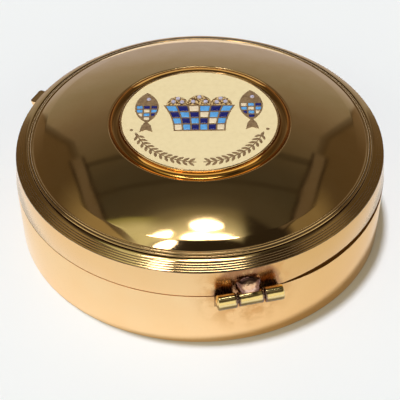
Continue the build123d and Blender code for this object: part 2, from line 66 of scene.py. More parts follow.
def lowest(node):
    """Lowest corner of a CAD node, in millimetres."""
    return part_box(node)[0] / MM


def highest(node):
    """Highest corner of a CAD node, in millimetres."""
    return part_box(node)[1] / MM


# Sizes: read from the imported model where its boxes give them
BODY_RADIUS = highest("base_wall").x
SEAM = highest("base_wall").z
WALL = 1.0
SLEEVE_INNER = 37.9
SLEEVE_OUTER = 38.35
SLEEVE_BOTTOM = lowest("base_sleeve").z
SLEEVE_TOP = highest("base_sleeve").z
BAND_BOTTOM = lowest("lid_band").z
BAND_TOP = highest("lid_band").z
BAND_TOP_RADIUS = BODY_RADIUS - 0.6
BAND_INNER = 38.95
BAND_TOP_INNER = 38.5
LEDGE = lowest("bead_wire").z
LEDGE_INNER = 34.5
WIRE_OUTER = highest("bead_wire").x
WIRE_TOP = highest("bead_wire").z
DOME_RADIUS = highest("lid_dome").x
DOME_TOP = highest("lid_dome").z
DOME_EDGE = 21.23
BRIM_RADIUS = 33.35
BRIM_HEIGHT = 21.99
STEPS = 5
FIRST_TREAD = 0.78
TREAD = 0.375
TREAD_FALL = 0.235
RISER = 0.19
STEP_EDGE = 0.035
DOME_SKIN = 0.7
SEAT_RADIUS = highest("medallion_seat").x
SEAT_TOP = highest("medallion_seat").z
SEAT_BOTTOM = lowest("medallion_seat").z
POCKET = lowest("medallion_bezel").z
LIP_RADIUS = SEAT_RADIUS + 0.25
BEZEL_RADIUS = highest("medallion_bezel").x
PLATE_RADIUS = highest("enamel_field").x
PLATE_TOP = lowest("enamel_field").z
ENAMEL_TOP = highest("enamel_field").z
METAL_TOP = highest("basket_frame").z
LOAF_TOP = highest("loaves").z
STONE_TOP = highest("loaf_crystals").z
TAB_ANGLE = radians(155)
TAB_DEPTH = 2.3
TAB_LENGTH = 4.5
TAB_ROUNDING = 0.6
TAB_START = BODY_RADIUS - 1.0
TAB_TOP = highest("thumb_tab").z

joint = frame["joints"][0]
PIVOT = Vector(joint["pos_m"]) / MM
HINGE_ALONG = Vector(joint["axis"])
HINGE_OUT = Vector((PIVOT.x, PIVOT.y, 0)).normalized()
HINGE_GAP = hypot(PIVOT.x, PIVOT.y) - BODY_RADIUS
HINGE_SINK = 0.35
BARREL = 1.5
LID_BARREL = 1.4
PIN = 0.7
PIN_HEAD = 0.2
OUTER = 3.75
MIDDLE = 4.85
KNUCKLE_GAP = 0.35
BARREL_LENGTH = 2 * OUTER + 2 * KNUCKLE_GAP + MIDDLE
LEAF_TOP = 17.7
LEAF_CROWN = 2.75


def axes(x_axis, y_axis, z_axis, origin):
    """The matrix of a set of axes standing at a point."""
    return Matrix.Translation(origin) @ Matrix((x_axis, y_axis, z_axis)).transposed().to_4x4()


HINGE_FRAME = axes(HINGE_ALONG, HINGE_OUT, (0, 0, 1), PIVOT)


# Materials
class Value:
    """A shader node's output. Arithmetic with it adds the nodes that do it."""

    def __init__(self, graph, socket):
        self.graph = graph
        self.socket = socket

    def __add__(self, other):
        return self.graph.math("ADD", self, other)

    def __sub__(self, other):
        return self.graph.math("SUBTRACT", self, other)

    def __rsub__(self, other):
        return self.graph.math("SUBTRACT", other, self)

    def __mul__(self, other):
        return self.graph.math("MULTIPLY", self, other)

    def __truediv__(self, other):
        return self.graph.math("DIVIDE", self, other)

    def __abs__(self):
        return self.graph.math("ABSOLUTE", self)

    def span(self, low, high, to_low=0.0, to_high=1.0):
        """A smooth step from to_low, where the value is low, to to_high, where it is high."""
        limits = {"From_Min": low, "From_Max": high, "To_Min": to_low, "To_Max": to_high}
        settings = {"interpolation_type": "SMOOTHSTEP"}
        return self.graph.add("ShaderNodeMapRange", settings, Value=self, **limits)

    def fade(self, low, high):
        """A smooth step down from 1 to 0."""
        return self.span(low, high, 1.0, 0.0)


class Graph:
    """Builds shader nodes. Colours are given as (red, green, blue)."""

    def __init__(self, tree):
        self.tree = tree

    def feed(self, node, **inputs):
        """Links or sets inputs by name, with _ for a space, or by number, as in _0."""
        for key, value in inputs.items():
            number = key[1:]
            socket = node.inputs[int(number) if number.isdigit() else key.replace("_", " ")]
            if isinstance(value, Value):
                self.tree.links.new(value.socket, socket)
            elif socket.type == "RGBA":
                socket.default_value = (*value, 1.0)
            else:
                socket.default_value = value

    def node(self, kind, settings=None, **inputs):
        node = self.tree.nodes.new(kind)
        for key, value in (settings or {}).items():
            setattr(node, key, value)
        self.feed(node, **inputs)
        return node

    def add(self, kind, settings=None, output=0, **inputs):
        """A new node's output."""
        return Value(self, self.node(kind, settings, **inputs).outputs[output])

    def math(self, operation, a, b=0.0):
        return self.add("ShaderNodeMath", {"operation": operation}, _0=a, _1=b)

    def vector(self, operation, a, b, output=0):
        return self.add("ShaderNodeVectorMath", {"operation": operation}, output, _0=a, _1=b)

    def parts(self, vector):
        """The x, y and z of a vector."""
        node = self.node("ShaderNodeSeparateXYZ", Vector=vector)
        return [Value(self, socket) for socket in node.outputs]

    def noise(self, vector, scale, detail=2.0, roughness=0.5):
        sizes = {"Scale": scale, "Detail": detail, "Roughness": roughness}
        return self.add("ShaderNodeTexNoise", output="Fac", Vector=vector, **sizes)

    def mix(self, share, a, b, blend="MIX"):
        settings = {"data_type": "RGBA", "blend_type": blend}
        return self.add("ShaderNodeMix", settings, 2, _0=share, _6=a, _7=b)

    def ramp(self, value, stops):
        """A colour for each value, from stops of (value, red, green, blue)."""
        node = self.node("ShaderNodeValToRGB", Fac=value)
        elements = node.color_ramp.elements
        for end in (0, -1):
            elements[end].position = stops[end][0]
            elements[end].color = (*stops[end][1:], 1)
        for position, *colour in stops[1:-1]:
            elements.new(position).color = (*colour, 1)
        return Value(self, node.outputs[0])

    def bump(self, height, depth, **under):
        """The normal of a relief that is depth millimetres deep."""
        return self.add("ShaderNodeBump", Strength=1.0, Distance=depth * MM, Height=height, **under)

    def upright(self):
        """How far the surface faces upward, from -1 to 1."""
        return self.parts(self.add("ShaderNodeTexCoord", output="Normal"))[2]

    def shade(self, **inputs):
        """Feeds the material's own shader."""
        self.feed(self.tree.nodes["Principled BSDF"], **inputs)

    def finish(self, colour, roughness, normal, metallic=1.0):
        self.shade(Base_Color=colour, Roughness=roughness, Normal=normal, Metallic=metallic)


GOLD = (1.0, 0.67, 0.34)
MATERIALS = {}


def new_material(name):
    """A new material's graph, and its object's coordinates in millimetres."""
    material = bpy.data.materials.new(name)
    material.use_nodes = True
    MATERIALS[name] = material
    graph = Graph(material.node_tree)
    metres = graph.add("ShaderNodeTexCoord", output="Object")
    place = graph.add("ShaderNodeVectorMath", {"operation": "SCALE"}, Vector=metres, Scale=1 / MM)
    return graph, place


def around(graph, place):
    """Distance round the box, distance from its axis and height, in millimetres."""
    x, y, z = graph.parts(place)
    return graph.math("ARCTAN2", y, x) * BODY_RADIUS, graph.math("SQRT", x * x + y * y), z


def squeezed(graph, cylinder, across, out, up):
    """Noise coordinates stretched differently round the box, outward and upward."""
    length, radius, height = cylinder
    return graph.add("ShaderNodeCombineXYZ", X=length * across, Y=radius * out, Z=height * up)


def wall_material():
    """Gilt walls: brushed upright, with painted shade darkening them to the right, browner round the
    hinge, and dirt with painted shade in the seam.
    """
    graph, place = new_material("gilt_wall")
    x, y, _ = graph.parts(place)
    cylinder = around(graph, place)
    height = cylinder[2]
    lines = graph.noise(squeezed(graph, cylinder, 9.0, 0.0, 0.35), 1.0, 3.0, 0.6)
    fine = graph.noise(squeezed(graph, cylinder, 26.0, 0.0, 0.9), 1.0)
    broad = graph.noise(place, 0.07)
    smudge = graph.noise(place, 0.35, 4.0, 0.6)
    rightward = x + y * 0.35
    # Painted shade: the gilding is painted darker and browner towards the right.
    right_side_shade = rightward.span(-16.0, 16.0)
    colour = graph.mix(broad.span(0.3, 0.7), (1.0, 0.7, 0.38), (1.0, 0.66, 0.33))
    colour = graph.mix(right_side_shade * 0.85, colour, (0.8, 0.49, 0.195))
    # The lid's band is mixed towards a deeper orange, deepened further on the right by the painted
    # shade.
    on_lid = graph.math("GREATER_THAN", height, (SEAM + BAND_BOTTOM) / 2)
    colour = graph.mix(on_lid * (right_side_shade * 0.5 + 0.28), colour, (0.7, 0.42, 0.15))
    from_hinge = graph.vector("DISTANCE", place, PIVOT + HINGE_OUT * -1.5, "Value")
    near = from_hinge.fade(5.5, 12.5)
    patch = near * smudge.span(0.36, 0.62, 0.15, 1.0)
    colour = graph.mix(patch * 0.72, colour, (0.66, 0.32, 0.1))
    close = from_hinge.span(6.4, 7.6, 0.75, 0.0) * height.span(SEAM - 0.4, SEAM + 0.4)
    colour = graph.mix(close * smudge.span(0.3, 0.5), colour, (0.3, 0.13, 0.07))
    brushed = lines.span(0.52, 0.75) * height.span(2.0, 8.0, 0.16, 0.06)
    colour = graph.mix(brushed, colour, (0.7, 0.42, 0.18))
    # Painted shade and seam dirt: edge faces that turn up or down, at the seam and the foot, are painted
    # dark brown, most on the right.
    edge = abs(graph.upright()).span(0.25, 0.7) * rightward.span(-20.0, 8.0, 0.15, 0.97)
    colour = graph.mix(edge, colour, (0.085, 0.038, 0.01))
    # The seam line, dirt with painted shade, is not metal, and it thins out towards the left.
    half_line = rightward.span(-4.0, 16.0, 0.0, 0.7)
    seam_dirt_and_shade = graph.math("LESS_THAN", abs(height - (SEAM + 0.1)), half_line)
    off_seam_line = 1.0 - seam_dirt_and_shade
    colour = graph.mix(seam_dirt_and_shade, colour, (0.085, 0.03, 0.005))
    roughness = lines.span(0.3, 0.7, 0.1, 0.19) + near * 0.1
    normal = graph.bump(fine, 0.003, Normal=graph.bump(lines, 0.009))
    graph.finish(colour, roughness, normal, off_seam_line)
    graph.shade(Specular_IOR_Level=off_seam_line * 0.5)


def polished_material():
    """Mirror gilding: a hair of waviness, hairline scratches and faint finger haze."""
    graph, place = new_material("gilt_polished")
    waves = graph.noise(place, 0.1, 1.0)
    haze = graph.noise(place, 0.22, 4.0, 0.65)
    scratches = graph.noise(place, 5.0, 3.0, 0.7)
    colour = graph.mix(haze.span(0.35, 0.7), GOLD, (0.97, 0.6365, 0.306))
    normal = graph.bump(scratches, 0.0006, Normal=graph.bump(waves, 0.04))
    graph.finish(colour, haze.span(0.4, 0.8, 0.045, 0.075), normal)


def dish_material():
    """The dish round the medallion: gilding painted deep orange in front and browner behind, a painted
    glow of reflected light.
    """
    graph, place = new_material("gilt_deep")
    waves = graph.noise(place, 0.1, 1.0)
    haze = graph.noise(place, 0.5, 3.0)
    y = graph.parts(place)[1]
    # Painted light: the front of the dish is painted a brighter orange, the back browner.
    colour = graph.mix(y.span(-17.0, -6.0), (1.0, 0.5, 0.12), (0.66, 0.36, 0.13))
    graph.finish(colour, haze.span(0.3, 0.7, 0.05, 0.1), graph.bump(waves, 0.08))


def turned_material(name, shade_from, shade_to):
    """Turned gilding with painted shade, dark brown, on its steeper faces."""
    graph, place = new_material(name)
    cloud = graph.noise(place, 0.25, 3.0)
    waves = graph.noise(place, 0.12, 1.0)
    # Painted shade: the steeper faces are painted dark brown.
    steep_face_shade = graph.upright().span(shade_from, shade_to, 0.93, 0.0)
    colour = graph.mix(cloud.span(0.35, 0.7, 0.0, 0.5), GOLD, (0.93, 0.6, 0.29))
    colour = graph.mix(steep_face_shade, colour, (0.1, 0.06, 0.028))
    graph.finish(colour, cloud.span(0.3, 0.7, 0.05, 0.1), graph.bump(waves, 0.03))


def inside_material():
    """Gilding inside the cup: softer, with turning marks, and dirt with painted shade outside the
    sleeve's foot.
    """
    graph, place = new_material("gilt_inside")
    cylinder = around(graph, place)
    _, radius, height = cylinder
    rings = graph.noise(squeezed(graph, cylinder, 0.05, 7.0, 7.0), 1.0, 3.0, 0.6)
    cloud = graph.noise(place, 0.12, 3.0)
    colour = graph.mix(cloud.span(0.3, 0.7), GOLD, (0.9, 0.56, 0.25))
    # Seam dirt and painted shade on the sleeve at the seam's height, heavier to the right.
    seam_dirt_and_shade = radius.span(SLEEVE_OUTER - 0.3, SLEEVE_OUTER - 0.1)
    seam_dirt_and_shade = seam_dirt_and_shade * height.span(SEAM + 0.9, SEAM + 1.6, 0.97, 0.0)
    seam_dirt_and_shade = seam_dirt_and_shade * graph.parts(place)[0].span(-30.0, 0.0, 0.75, 1.0)
    colour = graph.mix(seam_dirt_and_shade, colour, (0.06, 0.03, 0.012))
    graph.finish(colour, rings.span(0.3, 0.7, 0.16, 0.28), graph.bump(rings, 0.004))


def hinge_material():
    """Hinge barrels: polished on the crown, darker underneath, and browned in the corners by soldering.
    """
    graph, place = new_material("gilt_hinge")
    cloud = graph.noise(place, 1.1, 4.0, 0.6)
    low = graph.parts(place)[2].fade(PIVOT.z, PIVOT.z + 0.5)
    brown = low * cloud.span(0.3, 0.55, 0.75, 0.95)
    colour = graph.mix(brown, (0.95, 0.72, 0.34), (0.15, 0.1, 0.035))
    offset = graph.vector("SUBTRACT", place, PIVOT)
    along = graph.vector("DOT_PRODUCT", offset, HINGE_ALONG, "Value")
    from_joint = abs(abs(along) - (MIDDLE + KNUCKLE_GAP) / 2)
    stain = (from_joint + cloud * 0.5).span(0.55, 0.95, 0.92, 0.0)
    colour = graph.mix(stain, colour, (0.2, 0.115, 0.105))
    graph.finish(colour, cloud.span(0.35, 0.75, 0.07, 0.2), graph.bump(cloud, 0.02))


def heat_material():
    """The soldered leaf: a painted rosy highlight on its crown, purple-brown oxide round it, orange at
    the rim.
    """
    graph, place = new_material("heat_tinted_gilt")
    cloud = graph.noise(place, 0.9, 3.0)
    crown = PIVOT + HINGE_OUT * -0.5 + Vector((0, 0, 2.35))
    away = graph.vector("DISTANCE", place, crown, "Value") + cloud * 1.4
    # Painted highlight: the lightest stops, nearest the crown, are rosy light; the darker ones are
    # oxide, orange at the rim.
    stops = (
        (0.2, 0.95, 0.64, 0.5),
        (0.34, 0.88, 0.54, 0.4),
        (0.42, 0.9, 0.6, 0.46),
        (0.52, 0.34, 0.18, 0.14),
        (0.66, 0.17, 0.085, 0.075),
        (0.84, 0.24, 0.115, 0.07),
        (0.97, 0.62, 0.31, 0.12),
    )
    normal = graph.bump(graph.noise(place, 0.8), 0.1)
    graph.finish(graph.ramp(away / 4.0, stops), cloud.span(0.3, 0.7, 0.1, 0.24), normal)


def enamel_material(name, colour, dark):
    """Glass enamel: a clear gloss over colour that is a little uneven in depth."""
    graph, place = new_material(name)
    depth = graph.noise(place, 0.9, 3.0, 0.6)
    grain = graph.noise(place, 9.0)
    tone = graph.mix(depth.span(0.35, 0.75, 0.0, 0.8), colour, dark)
    tone = graph.mix(grain.span(0.6, 0.8, 0.0, 0.18), tone, dark)
    graph.finish(tone, grain.span(0.3, 0.7, 0.08, 0.15), graph.bump(depth, 0.015), 0.0)
    graph.shade(Coat_Weight=0.6, Coat_Roughness=0.03)


def relief_material(name, base, deep, cloud_at, roughness, relief, metallic):
    """Metal of the reliefs: clouded from base to deep, with a fine grain."""
    graph, place = new_material(name)
    scale, low, high = cloud_at
    cloud = graph.noise(place, scale, 4.0, 0.6)
    grain = graph.noise(place, 7.0, 3.0, 0.6)
    colour = graph.mix(cloud.span(low, high), base, deep)
    rough = grain.span(0.3, 0.7, roughness, roughness + 0.15)
    graph.finish(colour, rough, graph.bump(grain, relief), metallic)


def crystal_material():
    """Cut stones with a pale violet coating: hard facets that flash."""
    graph, _ = new_material("crystal")
    tint = graph.noise(graph.add("ShaderNodeNewGeometry", output="Normal"), 2.5, 1.0)
    stops = (
        (0.3, 0.95, 0.9, 0.85),
        (0.45, 0.62, 0.6, 0.95),
        (0.58, 0.95, 0.8, 0.88),
        (0.72, 0.75, 0.9, 1.0),
    )
    graph.shade(Base_Color=graph.ramp(tint, stops), Metallic=0.35, Roughness=0.06)
    graph.shade(Coat_Weight=1.0, Coat_Roughness=0.02)


wall_material()
polished_material()
turned_material("gilt_turned", 0.55, 0.88)
turned_material("gilt_beads", 0.42, 0.78)
dish_material()
inside_material()
hinge_material()
heat_material()
enamel_material("cream_enamel", (0.91, 0.74, 0.43), (0.86, 0.69, 0.39))
enamel_material("light_blue_enamel", (0.13, 0.42, 0.8), (0.07, 0.27, 0.63))
enamel_material("navy_enamel", (0.01, 0.014, 0.16), (0.006, 0.008, 0.1))
enamel_material("cell_cream_enamel", (0.88, 0.72, 0.5), (0.8, 0.62, 0.4))
brown, dark_brown = (0.47, 0.3, 0.155), (0.31, 0.185, 0.09)
relief_material("figure_metal", brown, dark_brown, (1.6, 0.35, 0.7), 0.34, 0.05, 0.5)
crust, scorched = (1.0, 0.68, 0.3), (0.15, 0.065, 0.015)
relief_material("loaf_metal", crust, scorched, (2.4, 0.44, 0.54), 0.16, 0.12, 0.3)
crystal_material()


# Mesh helpers
FULLNESS = 3.2


def link(name, data):
    """A new object in the scene."""
    piece = bpy.data.objects.new(name, data)
    bpy.context.scene.collection.objects.link(piece)
    return piece


def make_object(name, skin, body, slot, replaced, crease=32.0, material=None):
    """A closed, smooth-shaded piece from (vertices, faces) in millimetres, on a CAD body.

    Its material is the one with the slot's name, where no other is given.
    """
    vertices, faces = skin
    mesh = bpy.data.meshes.new(name)
    mesh.from_pydata([Vector(v) * MM for v in vertices], [], faces)
    shape = bmesh.new()
    shape.from_mesh(mesh)
    bmesh.ops.remove_doubles(shape, verts=shape.verts, dist=1e-7)
    bmesh.ops.recalc_face_normals(shape, faces=shape.faces)
    shape.to_mesh(mesh)
    shape.free()
    mesh.shade_smooth()
    mesh.set_sharp_from_angle(angle=radians(crease))
    piece = link(name, mesh)
    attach(piece, body)
    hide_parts(replaced)
    mesh.materials.append(MATERIALS[material or slot])
    return piece


def paint_node(node, material):
    """Gives a carried-over CAD node its finish, on the object's own slots."""
    for material_slot in nodes[node].material_slots:
        material_slot.link = "OBJECT"
        material_slot.material = MATERIALS[material]


def polar(radius, angle, x=0.0, y=0.0):
    """The point at a distance and an angle from (x, y)."""
    return x + radius * cos(angle), y + radius * sin(angle)


def arc(start, middle, end, count):
    """Points along the circle arc through three points, both ends included."""
    (ax, ay), (bx, by), (cx, cy) = start, middle, end
    a_square, b_square, c_square = ax**2 + ay**2, bx**2 + by**2, cx**2 + cy**2
    d = 2 * (ax * (by - cy) + bx * (cy - ay) + cx * (ay - by))
    ux = (a_square * (by - cy) + b_square * (cy - ay) + c_square * (ay - by)) / d
    uy = (a_square * (cx - bx) + b_square * (ax - cx) + c_square * (bx - ax)) / d
    radius = hypot(ax - ux, ay - uy)
    first = atan2(ay - uy, ax - ux)
    halfway = atan2(by - uy, bx - ux)
    last = atan2(cy - uy, cx - ux)
    turn = (last - first) % tau
    if (halfway - first) % tau > turn:
        turn -= tau
    return [polar(radius, first + turn * k / count, ux, uy) for k in range(count + 1)]


def lathe(name, profile, body, slot, replaced, segments=256, crease=32.0, place=None, material=None):
    """Turns a closed (radius, height) outline round the vertical axis, or round place's own Z."""
    vertices = []
    count = len(profile)
    for s in range(segments):
        for radius, height in profile:
            point = Vector((*polar(radius, tau * s / segments), height))
            vertices.append(place @ point if place else point)
    faces = []
    for s in range(segments):
        here, there = s * count, (s + 1) % segments * count
        for k in range(count):
            n = (k + 1) % count
            if profile[k][0] > 0 or profile[n][0] > 0:
                faces.append((here + k, here + n, there + n, there + k))
    return make_object(name, (vertices, faces), body, slot, replaced, crease, material)


def loft(loops):
    """Vertices and faces of a closed skin over a list of equal loops, with flat end caps."""
    vertices = [point for loop in loops for point in loop]
    count = len(loops[0])
    faces = [tuple(reversed(range(count)))]
    for row in range(len(loops) - 1):
        for k in range(count):
            a, b = row * count + k, row * count + (k + 1) % count
            faces.append((a, b, b + count, a + count))
    faces.append(tuple(range((len(loops) - 1) * count, len(loops) * count)))
    return vertices, faces


def pillows(name, outlines, shoulder, top, slot, replaced, rings=7, material=None):
    """Small cushions on the plate: each (x, y) outline rises to shoulder and swells to top."""
    vertices, faces = [], []
    for outline in outlines:
        centre_x = sum(p[0] for p in outline) / len(outline)
        centre_y = sum(p[1] for p in outline) / len(outline)
        first = len(vertices)
        count = len(outline)
        vertices += [(x, y, PLATE_TOP) for x, y in outline]
        faces.append(tuple(first + k for k in reversed(range(count))))
        for ring in range(rings):
            share = cos(pi / 2 * ring / rings)
            height = shoulder + (top - shoulder) * sqrt(max(0.0, 1 - share**FULLNESS))
            row = len(vertices)
            for x, y in outline:
                x, y = centre_x + (x - centre_x) * share, centre_y + (y - centre_y) * share
                vertices.append((x, y, height))
            for k in range(count):
                n = (k + 1) % count
                faces.append((row - count + k, row - count + n, row + n, row + k))
        tip = len(vertices)
        vertices.append((centre_x, centre_y, top))
        for k in range(count):
            faces.append((tip - count + k, tip - count + (k + 1) % count, tip))
    make_object(name, (vertices, faces), "lid", slot, replaced, 50.0, material)


# Base
inner = BODY_RADIUS - WALL
wall_profile = [
    (inner, 0),
    (BODY_RADIUS - 0.08, 0),
    (BODY_RADIUS, 0.08),
    (BODY_RADIUS, SEAM - 0.14),
    (BODY_RADIUS - 0.04, SEAM - 0.04),
    (BODY_RADIUS - 0.14, SEAM),
    (inner, SEAM),
]
lathe("wall_ring", wall_profile, "base", "gilt_wall", "base_wall")

sleeve_profile = [
    (SLEEVE_INNER, SLEEVE_BOTTOM),
    (inner, SLEEVE_BOTTOM),
    (inner, SEAM),
    (SLEEVE_OUTER, SEAM),
    (SLEEVE_OUTER, SLEEVE_TOP - 0.16),
    (SLEEVE_OUTER - 0.05, SLEEVE_TOP - 0.05),
    (SLEEVE_OUTER - 0.16, SLEEVE_TOP),
    (SLEEVE_INNER + 0.12, SLEEVE_TOP),
    (SLEEVE_INNER + 0.03, SLEEVE_TOP - 0.04),
    (SLEEVE_INNER, SLEEVE_TOP - 0.12),
]
lathe("sleeve_ring", sleeve_profile, "base", "gilt_inside", "base_sleeve")
paint_node("base_floor", "gilt_inside")

# Hinge


def knuckle_outline():
    """Section of a base knuckle: barrel, flat foot top, and a hollow solder fillet below."""
    foot_top = SEAM - 0.15 - PIVOT.z
    foot_bottom = -3.3
    back = -HINGE_GAP - HINGE_SINK
    first = pi + asin(-foot_top / BARREL)
    turn = (first - radians(-78)) % tau
    points = [polar(BARREL, first - turn * k / 40) for k in range(41)]
    end = points[-1]
    hollow = (-HINGE_GAP * 0.62, -1.75)
    for k in range(1, 13):
        t = k / 12
        x = (1 - t) ** 2 * end[0] + 2 * t * (1 - t) * hollow[0] + t**2 * back
        y = (1 - t) ** 2 * end[1] + 2 * t * (1 - t) * hollow[1] + t**2 * foot_bottom
        points.append((x, y))
    points.append((back, foot_top))
    return points


def base_knuckle(name, start, replaced):
    """An outer knuckle: softly rounded at both ends, a little uneven, joined to its foot."""
    rounding = ((0.0, 0.24), (0.05, 0.12), (0.13, 0.04), (0.24, 0.0))
    stations = [(start + u, inset) for u, inset in rounding]
    stations += [(start + OUTER * k / 8, 0.0) for k in range(1, 8)]
    stations += [(start + OUTER - u, inset) for u, inset in reversed(rounding)]
    loops = []
    for u, inset in stations:
        shrink = 1 - inset / BARREL
        loop = []
        for v, w in knuckle_outline():
            uneven = Vector((u * 0.5, v * 0.5, w * 0.5)) + Vector((start, 0, 0))
            swell = 1 + 0.012 * noise.noise(uneven)
            if v >= -HINGE_GAP:
                v, w = v * shrink * swell, w * shrink * swell
            loop.append(HINGE_FRAME @ Vector((u, v, w)))
        loops.append(loop)
    make_object(name, loft(loops), "base", "gilt_hinge", replaced)


half = BARREL_LENGTH / 2
base_knuckle("knuckle_left", -half, "base_knuckle_left")
base_knuckle("knuckle_right", half - OUTER, "base_knuckle_right")

pin_place = HINGE_FRAME @ Matrix(((0, 0, 1, 0), (1, 0, 0, 0), (0, 1, 0, 0), (0, 0, 0, 1)))
head = PIN + 0.25
pin_end = [
    (PIN, half),
    (head, half),
    (head, half + 0.06),
    (head * 0.85, half + PIN_HEAD - 0.07),
    (head * 0.55, half + PIN_HEAD - 0.03),
    (0, half + PIN_HEAD),
]
pin_profile = [(r, -h) for r, h in reversed(pin_end)] + pin_end
lathe("pin_peened", pin_profile, "base", "gilt_hinge", "hinge_pin", 48, 50, pin_place)

knuckle_end = [
    (LID_BARREL, MIDDLE / 2 - 0.16),
    (LID_BARREL - 0.05, MIDDLE / 2 - 0.05),
    (LID_BARREL - 0.16, MIDDLE / 2),
    (PIN + 0.06, MIDDLE / 2),
]
knuckle_profile = [(r, -h) for r, h in reversed(knuckle_end)] + knuckle_end
lathe("knuckle_middle", knuckle_profile, "lid", "gilt_hinge", "lid_knuckle", 64, 40, pin_place)


def leaf_blob():
    """The leaf as it was soldered: a swelling saddle from the barrel up on to the band."""
    band_face = -HINGE_GAP - HINGE_SINK
    rows, across = 18, 32
    top = (-HINGE_GAP - 0.18, LEAF_TOP - PIVOT.z)
    spine = arc((0.12, 1.37), (-0.5, LEAF_CROWN), top, rows)
    loops = []
    for k, (v, w) in enumerate(spine):
        share = k / rows
        narrowing = (max(0.0, share - 0.6) / 0.4) ** 2
        half_width = MIDDLE / 2 - 0.05 + 0.3 * share**2 - 1.1 * narrowing
        power = 6.0 - 3.4 * share
        loop = []
        for j in range(across + 1):
            a = -cos(pi * j / across)
            crown = (1 - abs(a) ** power) ** 0.5
            depth = band_face + (v - band_face) * crown
            lift = w - 0.45 * (1 - crown) * share
            rough = 0.07 * noise.noise(Vector((a * 1.9, share * 2.6, 4.0)))
            loop.append(HINGE_FRAME @ Vector((a * half_width, depth + rough * crown, lift)))
        for j in range(across + 1):
            a = cos(pi * j / across)
            loop.append(HINGE_FRAME @ Vector((a * half_width * 0.98, band_face - 0.25, w - 0.02)))
        loops.append(loop)
    make_object("leaf_soldered", loft(loops), "lid", "heat_tinted_gilt", "lid_leaf")


leaf_blob()
for piece in bpy.data.objects:
    if piece.name.startswith(("knuckle_", "pin_", "leaf_")):
        piece.visible_shadow = False

# Lid shell
band_profile = [
    (BAND_INNER, BAND_BOTTOM),
    (BODY_RADIUS - 0.1, BAND_BOTTOM),
    (BODY_RADIUS - 0.03, BAND_BOTTOM + 0.03),
    (BODY_RADIUS, BAND_BOTTOM + 0.1),
    (BAND_TOP_RADIUS, BAND_TOP),
    (BAND_TOP_INNER, BAND_TOP),
]
lathe("band_ring", band_profile, "lid", "gilt_wall", "lid_band")


def rim_profile():
    """The moulding's five turned steps: slightly crowned treads with a fine groove at each foot."""
    radius, height = BAND_TOP_RADIUS - 0.04, BAND_TOP
    profile = [(radius, height)]
    for step in range(STEPS):
        width = FIRST_TREAD if step == STEPS - 1 else TREAD
        fall = width * TREAD_FALL
        profile.append((radius, height + RISER - STEP_EDGE))
        profile += arc(
            (radius - STEP_EDGE * 0.4, height + RISER - STEP_EDGE * 0.3),
            (radius - width / 2, height + RISER + fall / 2 + 0.012 * width),
            (radius - width + 0.03, height + RISER + fall),
            8,
        )
        if step < STEPS - 1:
            profile.append((radius - width + 0.012, height + RISER + fall - 0.03))
        radius, height = radius - width, height + RISER + fall
    groove = LEDGE + 0.5
    profile += [
        (radius - 0.03, height - 0.05),
        (radius - 0.04, groove),
        (WIRE_OUTER, groove - 0.05),
        (WIRE_OUTER, LEDGE),
        (LEDGE_INNER, LEDGE),
        (LEDGE_INNER, BAND_TOP),
    ]
    return profile


lathe("rim_ring", rim_profile(), "lid", "gilt_polished", "rim_moulding", 320, 30, material="gilt_turned")

wire_profile = [(DOME_RADIUS, LEDGE), (WIRE_OUTER, LEDGE), (WIRE_OUTER, WIRE_TOP - 0.62)]
wire_profile += arc(
    (WIRE_OUTER - 0.03, WIRE_TOP - 0.55),
    (WIRE_OUTER - 0.22, WIRE_TOP - 0.34),
    (WIRE_OUTER - 0.46, WIRE_TOP - 0.33),
    10,
)
wire_profile.append((WIRE_OUTER - 0.5, WIRE_TOP - 0.4))
wire_profile += arc(
    (WIRE_OUTER - 0.56, WIRE_TOP - 0.3),
    (WIRE_OUTER - 0.8, WIRE_TOP - 0.04),
    (DOME_RADIUS, WIRE_TOP - 0.1),
    14,
)
lathe("wire_ring", wire_profile, "lid", "gilt_polished", "bead_wire", 320, 40, material="gilt_beads")

sphere_radius = (BRIM_RADIUS**2 - LIP_RADIUS**2) / (2 * (DOME_TOP - BRIM_HEIGHT))
middle_radius = (BRIM_RADIUS + LIP_RADIUS) / 2
middle_height = DOME_TOP - (middle_radius**2 - LIP_RADIUS**2) / (2 * sphere_radius)
dome_profile = [(LEDGE_INNER, LEDGE), (DOME_RADIUS, LEDGE), (DOME_RADIUS, DOME_EDGE - 0.06)]
dome_profile += arc(
    (DOME_RADIUS - 0.05, DOME_EDGE),
    ((DOME_RADIUS + BRIM_RADIUS) / 2, (DOME_EDGE + BRIM_HEIGHT) / 2 + 0.012),
    (BRIM_RADIUS + 0.05, BRIM_HEIGHT - 0.017),
    12,
)
dome_profile += arc(
    (BRIM_RADIUS - 0.05, BRIM_HEIGHT + 0.013),
    (middle_radius, middle_height),
    (LIP_RADIUS, DOME_TOP),
    56,
)
dome_profile += arc(
    (LIP_RADIUS, DOME_TOP), (SEAT_RADIUS + 0.09, DOME_TOP - 0.04), (SEAT_RADIUS, SEAT_TOP), 6
)[1:]
dome_profile.append((SEAT_RADIUS, DOME_TOP - DOME_SKIN))
dome_profile += arc(
    (SEAT_RADIUS, DOME_TOP - DOME_SKIN),
    (middle_radius - 0.15, middle_height - DOME_SKIN),
    (BRIM_RADIUS - 0.2, BRIM_HEIGHT - DOME_SKIN),
    16,
)[1:]
lathe("dome_shell", dome_profile, "lid", "gilt_polished", "lid_dome", 320, 40)


